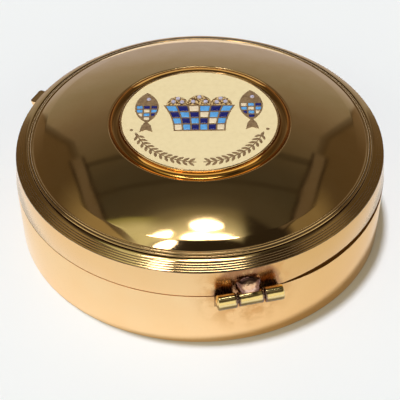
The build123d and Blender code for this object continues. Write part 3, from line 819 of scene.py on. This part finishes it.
def tab_bar():
    """The thumb tab: a quarter-round bar with softened ends."""
    outward = Vector((cos(TAB_ANGLE), sin(TAB_ANGLE), 0))
    along = Vector((-sin(TAB_ANGLE), cos(TAB_ANGLE), 0))
    stations = []
    for k in range(7):
        a = pi / 2 * k / 6
        stations.append((-TAB_LENGTH / 2 + TAB_ROUNDING * (1 - cos(a)), TAB_ROUNDING * (1 - sin(a))))
    stations += [(-s, inset) for s, inset in reversed(stations)]
    loops = []
    for s, inset in stations:
        radius = TAB_DEPTH - inset
        section = []
        for k in range(25):
            a = pi / 2 * k / 24
            section.append((radius * cos(a), TAB_TOP - radius * sin(a)))
        section += [(-0.2, TAB_TOP - radius), (-0.2, TAB_TOP)]
        loop = []
        for u, w in section:
            point = outward * (TAB_START + u) + along * s
            loop.append((point.x, point.y, w))
        loops.append(loop)
    make_object("tab_bar", loft(loops), "lid", "gilt_polished", "thumb_tab")


tab_bar()

# Medallion: seat and bezel
seat_profile = [(BEZEL_RADIUS, POCKET), (0, POCKET), (0, SEAT_BOTTOM)]
seat_profile += [(SEAT_RADIUS, SEAT_BOTTOM), (SEAT_RADIUS, SEAT_TOP)]
seat_profile += arc(
    (SEAT_RADIUS - 0.15, SEAT_TOP),
    ((SEAT_RADIUS + BEZEL_RADIUS) / 2, POCKET - 0.05),
    (BEZEL_RADIUS, PLATE_TOP - 0.1),
    28,
)
lathe("seat_dish", seat_profile, "lid", "gilt_polished", "medallion_seat", 256, 40, material="gilt_deep")

bezel_profile = [(PLATE_RADIUS, POCKET), (BEZEL_RADIUS, POCKET)]
bezel_profile += arc(
    (BEZEL_RADIUS, ENAMEL_TOP - 0.05),
    ((BEZEL_RADIUS + PLATE_RADIUS) / 2, ENAMEL_TOP + 0.12),
    (PLATE_RADIUS, ENAMEL_TOP),
    10,
)
lathe("bezel_ring", bezel_profile, "lid", "gilt_polished", "medallion_bezel", 256, 50)
paint_node("medallion_plate", "gilt_inside")
paint_node("enamel_field", "cream_enamel")
for node in ("basket_frame", "fish_left", "fish_right"):
    paint_node(node, "figure_metal")

# Medallion: enamel cells
LINE = 0.3
BASKET_BOTTOM = -3.9
BASKET_HEIGHT = 8.4
BASKET_TOP_HALF = 7.4
BASKET_BOTTOM_HALF = 5.3
BASKET_FLARE = 1.9
BASKET_CELLS = ("LNCLNL", "NLNCLN", "LNLNCL", "CLNLNC")
COLUMNS = len(BASKET_CELLS[0])
BASKET_TOP = BASKET_BOTTOM + BASKET_HEIGHT
FISH_LENGTH = 10.4
FISH_HALF_WIDTH = 2.55
FISH_CENTRES = {"left": (-11.25, 3.9), "right": (11.1, 4.6)}
FISH_CELLS = {"left": ("LNN", "LCL", "CLN", "LCL"), "right": ("CLN", "LCL", "NLC", "LNL")}
SCALE_WIDTH = 1.55
SCALE_HEIGHT = 1.3
SCALES_TOP = 0.75
SMALLEST_CELL = 0.3
SQUARE = ((-1, -1), (1, -1), (1, 1), (-1, 1))
ENAMELS = {"L": "light_blue", "N": "navy", "C": "cream"}


def basket_half_width(rise):
    return BASKET_BOTTOM_HALF + (BASKET_TOP_HALF - BASKET_BOTTOM_HALF) * rise**BASKET_FLARE


def basket_cell(row, column):
    """Outline of one basket cell, drawn in by half a metal line, with points along each side."""
    inset = LINE / 2
    rows = len(BASKET_CELLS)
    high = 1 - row / rows - inset / BASKET_HEIGHT
    low = 1 - (row + 1) / rows + inset / BASKET_HEIGHT

    def corner(rise, side):
        width = basket_half_width(rise)
        x = -width + 2 * width * (column + side) / COLUMNS
        return (x + (inset if side == 0 else -inset), BASKET_BOTTOM + rise * BASKET_HEIGHT)

    return rounded([corner(low, 0), corner(low, 1), corner(high, 1), corner(high, 0)])


def rounded(corners, radius=0.16, steps=3):
    """A polygon with its corners rounded and a few points along each side."""
    points = []
    count = len(corners)
    for k in range(count):
        before, here, after, following = (Vector(corners[(k + d) % count]) for d in (-1, 0, 1, 2))
        reach = min(radius, (before - here).length * 0.4, (after - here).length * 0.4)
        start = here + (before - here).normalized() * reach
        end = here + (after - here).normalized() * reach
        for j in range(steps + 1):
            t = j / steps
            point = start * (1 - t) ** 2 + here * 2 * t * (1 - t) + end * t**2
            points.append((point.x, point.y))
        reach_after = min(radius, (after - here).length * 0.4, (following - after).length * 0.4)
        side_end = after + (here - after).normalized() * reach_after
        for t in (0.33, 0.67):
            point = end.lerp(side_end, t)
            points.append((point.x, point.y))
    return points


def fish_boundary(inset, count=28):
    """The fish's pointed oval as a convex polygon round the origin, anticlockwise."""
    length = FISH_LENGTH / 2 - inset * FISH_LENGTH / (2 * FISH_HALF_WIDTH)
    width = FISH_HALF_WIDTH - inset
    right = arc((0, -length), (width, 0), (0, length), count)
    left = arc((0, length), (-width, 0), (0, -length), count)
    return right[:-1] + left[:-1]


def clipped(polygon, boundary):
    """The part of a polygon inside a convex, anticlockwise boundary."""
    for k in range(len(boundary)):
        (ax, ay), (bx, by) = boundary[k], boundary[(k + 1) % len(boundary)]
        inside = [(bx - ax) * (y - ay) - (by - ay) * (x - ax) for x, y in polygon]
        kept = []
        for j, (x, y) in enumerate(polygon):
            n = (j + 1) % len(polygon)
            if inside[j] >= 0:
                kept.append((x, y))
            if inside[j] * inside[n] < 0:
                t = inside[j] / (inside[j] - inside[n])
                kept.append((x + (polygon[n][0] - x) * t, y + (polygon[n][1] - y) * t))
        polygon = kept
        if len(polygon) < 3:
            return []
    return polygon


def area(polygon):
    """Positive for an anticlockwise polygon."""
    total = 0.0
    for k, (x, y) in enumerate(polygon):
        nx, ny = polygon[(k + 1) % len(polygon)]
        total += x * ny - y * nx
    return total / 2


def without_short_sides(polygon, shortest=0.12):
    kept = []
    for point in polygon:
        if not kept or dist(point, kept[-1]) > shortest:
            kept.append(point)
    if len(kept) > 3 and dist(kept[0], kept[-1]) < shortest:
        kept.pop()
    return kept


def fish_scales(side, letter):
    """Outlines of one fish's scales of one colour, cut off where they pass its outline."""
    outlines = []
    half_x = (SCALE_WIDTH - LINE) / 2
    half_y = (SCALE_HEIGHT - LINE) / 2
    centre = FISH_CENTRES[side]
    boundary = [(centre[0] + x, centre[1] + y) for x, y in fish_boundary(LINE)]
    for row, letters in enumerate(FISH_CELLS[side]):
        for column, colour in enumerate(letters):
            if colour != letter:
                continue
            x = centre[0] + (column - 1) * SCALE_WIDTH
            y = centre[1] + SCALES_TOP - (row + 0.5) * SCALE_HEIGHT
            square = [(x + u * half_x, y + v * half_y) for u, v in SQUARE]
            shape = clipped(square, boundary)
            if len(shape) > 2 and area(shape) > SMALLEST_CELL:
                outlines.append(rounded(without_short_sides(shape), 0.12))
    return outlines


def basket_cells(letter):
    """Outlines of the basket's cells of one colour."""
    outlines = []
    for row, letters in enumerate(BASKET_CELLS):
        outlines += [basket_cell(row, k) for k, cell in enumerate(letters) if cell == letter]
    return outlines


for letter, colour in ENAMELS.items():
    slot = f"{colour}_enamel"
    material = "cell_cream_enamel" if colour == "cream" else slot
    scales = fish_scales("left", letter) + fish_scales("right", letter)
    for name, part, outlines, swell in (
        (f"basket_{colour}_cells", "basket", basket_cells(letter), 0.1),
        (f"fish_{colour}_scales", "fish", scales, 0.08),
    ):
        edge, top = ENAMEL_TOP - 0.02, METAL_TOP + swell
        pillows(name, outlines, edge, top, slot, f"{part}_{slot}", material=material)

# Medallion: loaves, stones, dots and garland
LOAF_BASE = BASKET_TOP + LINE / 2
# Each loaf: its middle, half width and height on the plate, and the height of its crown.
LOAVES = (
    (-4.7, 2.4, 2.95, LOAF_TOP - 0.08),
    (4.7, 2.4, 2.95, LOAF_TOP - 0.08),
    (0.0, 2.75, 3.55, LOAF_TOP),
)
LOAF_MIDDLE = 0.45
SIDE_STONES = ((5.6, 5.5), (4.6, 6.6), (3.75, 5.35))
MIDDLE_STONES = ((0.0, 7.05), (-1.35, 5.5), (1.35, 5.5))
STONES = (*((-x, y) for x, y in SIDE_STONES), *MIDDLE_STONES, *SIDE_STONES)
STONE_RADIUS = 0.5
EYE_RIGHT, EYE_UP = 0.35, 2.75
EYES = [(x + EYE_RIGHT, y + EYE_UP) for x, y in FISH_CENTRES.values()]


def loaf_relief():
    """Three loaves as domed relief with a grained crust."""
    vertices, faces = [], []
    rings, count = 10, 40
    for centre, half_x, height, top in LOAVES:
        first = len(vertices)
        middle = LOAF_MIDDLE * height
        for ring in (None, *range(rings + 1)):
            share = 1 - (ring or 0) / rings
            swell = sqrt(max(0.0, 1 - share**2.6))
            for k in range(count + 1):
                a = pi * k / count
                x = centre + half_x * share * cos(a)
                y = LOAF_BASE + 0.02 + (height * sin(a) - middle) * share + middle
                y = max(LOAF_BASE, min(y, LOAF_BASE + height))
                grain = noise.noise(Vector((x * 3.1, y * 3.1, 1.7)))
                grain += 0.6 * noise.noise(Vector((x * 7, y * 7, 5.0)))
                z = ENAMEL_TOP + 0.03 + (top - ENAMEL_TOP - 0.12) * swell + 0.07 * grain * swell
                vertices.append((x, y, PLATE_TOP if ring is None else min(z, top)))
        row = count + 1
        faces.append(tuple(first + k for k in reversed(range(row))))
        for r in range(rings + 1):
            for k in range(row):
                n = (k + 1) % row
                a = first + r * row
                faces.append((a + k, a + n, a + row + n, a + row + k))
        faces.append(tuple(first + (rings + 1) * row + k for k in range(row)))
    make_object("loaf_relief", (vertices, faces), "lid", "loaf_metal", "loaves")


loaf_relief()


def cut_stones(name, places, top, replaced):
    """Brilliant-cut stones: an eight-sided table, slanted crown facets and an upright girdle."""
    vertices, faces = [], []
    for number, (x, y) in enumerate(places):
        first = len(vertices)
        twist = 0.4 * number
        levels = ((1.0, 0.42, 0.5), (1.0, 0.22, 0.5), (0.86, 0.13, 0.0), (0.55, 0.0, 0.5))
        for share, below, phase in levels:
            for k in range(8):
                a = tau * (k + phase) / 8 + twist
                vertices.append((*polar(STONE_RADIUS * share, a, x, y), top - below))
        faces.append(tuple(first + k for k in reversed(range(8))))
        for level in range(3):
            low, high = first + level * 8, first + level * 8 + 8
            for k in range(8):
                n = (k + 1) % 8
                if level == 0:
                    faces.append((low + k, low + n, high + n, high + k))
                elif level == 1:
                    faces.append((low + k, high + n, high + k))
                    faces.append((low + k, low + n, high + n))
                else:
                    faces.append((low + k, low + n, high + k))
                    faces.append((low + n, high + n, high + k))
        faces.append(tuple(first + 24 + k for k in range(8)))
    make_object(name, (vertices, faces), "lid", "crystal", replaced, crease=3.0)


cut_stones("loaf_stones", STONES, STONE_TOP, "loaf_crystals")
cut_stones("eye_stones", EYES, METAL_TOP + 0.3, "fish_eyes")

DOT_X = 14.3
DOT_Y = -3.6
DOT_RADIUS = 0.38
dots = [[polar(DOT_RADIUS, tau * k / 20, u * DOT_X, DOT_Y) for k in range(20)] for u in (-1, 1)]
pillows("end_beads", dots, ENAMEL_TOP, METAL_TOP, "figure_metal", "end_dots")

# The garland's start and end are in degrees from the medallion's lowest point, on each side.
GARLAND_RADIUS = 14.1
GARLAND_START = 3.0
GARLAND_END = 66.0
STEM_STEPS = 40
STEM_HALF_WIDTH = 0.12
GRAIN_PAIRS = 12
GRAIN_OFFSET = 0.62
GRAIN_SPLAY = 42


def grain_outline(x, y, degrees, length=1.75, width=0.66):
    """A pointed corn grain lying at an angle."""
    turn = radians(degrees)
    upper = arc((length / 2, 0), (0, width / 2), (-length / 2, 0), 8)
    lower = arc((-length / 2, 0), (0, -width / 2), (length / 2, 0), 8)
    outline = []
    for u, v in upper[:-1] + lower[:-1]:
        outline.append((x + u * cos(turn) - v * sin(turn), y + u * sin(turn) + v * cos(turn)))
    return outline


def garland_outlines():
    """The stem in short pieces, the pairs of grains along it and a grain at each end."""
    outlines = []
    length = GARLAND_END - GARLAND_START
    for way in (-1, 1):
        inner_side, outer_side = [], []
        for k in range(STEM_STEPS + 1):
            a = radians(-90 + way * (GARLAND_START + length * k / STEM_STEPS))
            inner_side.append(polar(GARLAND_RADIUS - STEM_HALF_WIDTH, a))
            outer_side.append(polar(GARLAND_RADIUS + STEM_HALF_WIDTH, a))
        for k in range(STEM_STEPS):
            outlines.append([inner_side[k], outer_side[k], outer_side[k + 1], inner_side[k + 1]])
        for pair in range(GRAIN_PAIRS):
            along = -90 + way * (GARLAND_START + (pair + 0.7) / GRAIN_PAIRS * length)
            for side in (-1, 1):
                x, y = polar(GARLAND_RADIUS + side * GRAIN_OFFSET, radians(along))
                outlines.append(grain_outline(x, y, along + 90 + way * side * GRAIN_SPLAY))
        x, y = polar(GARLAND_RADIUS, radians(-90 + way * (GARLAND_END + 2.2)))
        outlines.append(grain_outline(x, y, way * GARLAND_END))
    return [o if area(o) > 0 else list(reversed(o)) for o in outlines]


crown = METAL_TOP + 0.02
pillows("garland_grains", garland_outlines(), ENAMEL_TOP, crown, "figure_metal", "corn_garland", 3)

# Stage
FLOOR_HALF = 4.0
FLOOR_DROP = 0.00002
floor_mesh = bpy.data.meshes.new("floor")
corners = [(u * FLOOR_HALF, v * FLOOR_HALF, 0) for u, v in SQUARE]
floor_mesh.from_pydata(corners, [], [(0, 1, 2, 3)])
floor = link("floor", floor_mesh)
floor.location.z = -FLOOR_DROP
graph, place = new_material("pale_floor")
tone = graph.mix(graph.noise(place, 0.02), (0.89, 0.89, 0.89), (0.9, 0.9, 0.9))
graph.shade(Base_Color=tone, Roughness=1.0, Specular_IOR_Level=0.0)
floor_mesh.materials.append(MATERIALS["pale_floor"])

# Room, seen only in reflections
world = bpy.data.worlds.new("room")
bpy.context.scene.world = world
world.use_nodes = True
world.node_tree.nodes.clear()
graph = Graph(world.node_tree)
x, y, z = graph.parts(graph.add("ShaderNodeTexCoord", output="Generated"))
# Height is the share of the way from the horizon up to the zenith. Across and rise are the
# direction's place on an upright wall in front, drift and depth its place on a level ceiling.
height = graph.math("ARCSINE", z) / (pi / 2)
forward = graph.math("MAXIMUM", y, 0.02)
across = x / forward
rise = z / forward
overhead = graph.math("MAXIMUM", z, 0.02)
drift = x / overhead
depth = y / overhead
half_width = graph.math("MAXIMUM", rise * 0.25 + 0.325, 0.535)
past_edge = abs(across + 0.01) - half_width

far_wall = (
    (0.0, 0.44, 0.46, 0.57),
    (0.1, 0.4, 0.42, 0.5),
    (0.167, 0.3, 0.3, 0.29),
    (0.233, 0.235, 0.235, 0.205),
    (0.3, 0.195, 0.18, 0.145),
    (0.367, 0.145, 0.125, 0.095),
    (0.433, 0.115, 0.1, 0.072),
    (0.5, 0.088, 0.077, 0.052),
    (0.567, 0.06, 0.053, 0.037),
    (0.633, 0.052, 0.048, 0.034),
    (0.7, 0.066, 0.06, 0.042),
    (1.0, 0.05, 0.05, 0.04),
)
side_wall = (
    (0.0, 0.3, 0.29, 0.28),
    (0.2, 0.15, 0.12, 0.08),
    (0.35, 0.088, 0.066, 0.036),
    (0.5, 0.076, 0.058, 0.031),
    (0.62, 0.078, 0.062, 0.036),
    (0.74, 0.05, 0.04, 0.024),
    (1.0, 0.05, 0.05, 0.04),
)
ceiling_strip = (
    (0.695, 0.0, 0.0, 0.0),
    (0.725, 0.025, 0.025, 0.018),
    (0.755, 0.13, 0.13, 0.08),
    (0.785, 0.42, 0.46, 0.34),
    (0.815, 0.85, 0.9, 0.7),
    (0.84, 0.85, 0.9, 0.7),
)
near_side = (
    (0.0, 0.75, 0.72, 0.55),
    (0.12, 0.95, 0.92, 0.75),
    (0.42, 0.9, 0.88, 0.66),
    (0.5, 0.1, 0.09, 0.06),
    (0.78, 0.06, 0.05, 0.035),
    (0.88, 0.42, 0.4, 0.34),
    (1.0, 0.42, 0.4, 0.34),
)

# The far wall, darker above a ledge, with a second line further up.
room = graph.ramp(height, far_wall)
room = graph.mix(rise.span(1.12, 1.18), room, graph.mix(0.25, room, (0.03, 0.03, 0.02)))
ledge_line = rise.span(1.1, 1.14) * rise.fade(1.18, 1.22)
upper_line = rise.span(1.6, 1.65) * rise.fade(1.69, 1.74)
ledges = graph.math("MAXIMUM", ledge_line, upper_line)
room = graph.mix(ledges * 0.6, room, (0.03, 0.025, 0.015))

# The side walls beyond it, with a glow on each.
left_glow = height.span(0.49, 0.68) * across.fade(-0.3, 0.3)
right_glow = height.span(0.53, 0.63, 0.0, 0.6) * height.fade(0.7, 0.73)
right_glow = right_glow * graph.math("GREATER_THAN", across, 0.0)
glow = graph.math("MAXIMUM", left_glow, right_glow)
sides = graph.mix(glow, graph.ramp(height, side_wall), (0.27, 0.23, 0.125))
room = graph.mix(past_edge.span(-0.012, 0.012), room, sides)

# A pale post with dark outlines at each upper edge of the far wall, and a dark corner below.
high = rise.span(0.98, 1.06)
off_middle = abs(past_edge) / graph.math("MAXIMUM", rise, 0.5)
room = graph.mix(off_middle.fade(0.022, 0.03) * high, room, (0.105, 0.088, 0.062))
outline = off_middle.span(0.02, 0.028) * off_middle.fade(0.036, 0.046)
room = graph.mix(outline * (high * 0.75), room, (0.022, 0.016, 0.009))
corner = abs(past_edge).fade(0.01, 0.03) * 0.6 * (1.0 - high)
room = graph.mix(corner * rise.span(0.3, 0.5), room, (0.045, 0.035, 0.02))

# A lit strip of ceiling round the lamps, and a brighter panel of it to the left.
strip_share = drift.span(-0.36, -0.14, 0.35, 1.0) * drift.fade(0.11, 0.21)
strip = graph.mix(strip_share, (0.0, 0.0, 0.0), graph.ramp(height, ceiling_strip))
room = graph.mix(1.0, room, strip, "ADD")
inside_panel = 0.37 - drift * 0.193 - depth
panel = inside_panel.span(-0.004, 0.01, 0.0, 0.9) * drift.fade(-0.22, -0.11)
panel_tone = graph.mix(inside_panel.span(0.0, 0.07), (0.23, 0.25, 0.09), (0.58, 0.64, 0.45))
room = graph.mix(panel * past_edge.fade(-0.08, -0.06), room, panel_tone)

# The dark ceiling above, which comes lower on the right, and the room on the viewer's side.
right_ceiling = drift.span(0.15, 0.2) * height.span(0.725, 0.745)
ceiling = graph.math("MAXIMUM", height.span(0.83, 0.87), right_ceiling)
room = graph.mix(ceiling, room, (0.022, 0.018, 0.012))
room = graph.mix(y.fade(-0.06, -0.01), room, graph.ramp(height, near_side))

mirrored = graph.add("ShaderNodeBackground", Color=room, Strength=1.0)
backdrop = graph.add("ShaderNodeBackground", Color=(0.9, 0.9, 0.9), Strength=1.0)
seen = graph.add("ShaderNodeLightPath", output="Is Camera Ray")
shown = graph.add("ShaderNodeMixShader", _0=seen, _1=mirrored, _2=backdrop)
graph.node("ShaderNodeOutputWorld", Surface=shown)

# Lamps, round the point of the dome that mirrors them
LAMP_DISTANCE = 1.2
LAMP_RADIANCE = 6.0
MIRROR_POINT = Vector((0.0, -28.0, 22.8)) * MM
# Azimuth and elevation from that point, then width and height, in degrees.
LAMPS = (
    (-29.0, 71.7, 6.4, 2.3),
    (3.5, 70.9, 7.0, 2.7),
    (-3.0, 74.1, 7.0, 3.0),
    (19.0, 74.1, 7.0, 3.0),
    (-58.0, 78.8, 12.0, 4.0),
)
for number, angles in enumerate(LAMPS):
    azimuth, elevation, lamp_width, lamp_height = map(radians, angles)
    level = cos(elevation)
    towards = Vector((sin(azimuth) * level, cos(azimuth) * level, sin(elevation)))
    light = bpy.data.lights.new(f"lamp_{number}", "AREA")
    light.shape = "ELLIPSE"
    light.size = LAMP_DISTANCE * lamp_width
    light.size_y = LAMP_DISTANCE * lamp_height
    light.energy = LAMP_RADIANCE * pi * (pi / 4 * light.size * light.size_y)
    lamp = link(f"lamp_{number}", light)
    side = Vector((0, 0, 1)).cross(towards).normalized()
    origin = MIRROR_POINT + towards * LAMP_DISTANCE
    lamp.matrix_world = axes(side, towards.cross(side), towards, origin)
    lamp.visible_diffuse = False

SUN_FROM = Vector((-0.12, 0.09, 1.0))
SUN_WIDTH = radians(6)
sun = bpy.data.lights.new("key", "SUN")
sun.energy = 2.57
sun.color = (0.86, 0.9, 0.98)
sun.angle = SUN_WIDTH
key = link("key", sun)
key.rotation_euler = SUN_FROM.to_track_quat("Z", "Y").to_euler()
key.visible_glossy = False

# Camera
ELEVATION = radians(42.81)
ROLL = radians(-0.51)
CAMERA_DISTANCE = 243.7
TARGET = Vector((-0.05, 0.0, 1.81))
FOCAL_LENGTH = 96.69
backward = Vector((0, -cos(ELEVATION), sin(ELEVATION)))
up = Vector((0, sin(ELEVATION), cos(ELEVATION)))
right = Vector((1, 0, 0))
rolled_right = right * cos(ROLL) + up * sin(ROLL)
rolled_up = up * cos(ROLL) - right * sin(ROLL)
camera_data = bpy.data.cameras.new("camera")
camera_data.lens = FOCAL_LENGTH
camera_data.sensor_width = 36.0
camera_data.clip_start = 0.01
camera = link("camera", camera_data)
location = (TARGET + backward * CAMERA_DISTANCE) * MM
camera.matrix_world = axes(rolled_right, rolled_up, backward, location)
bpy.context.scene.camera = camera
bpy.context.scene.view_settings.view_transform = "Standard"
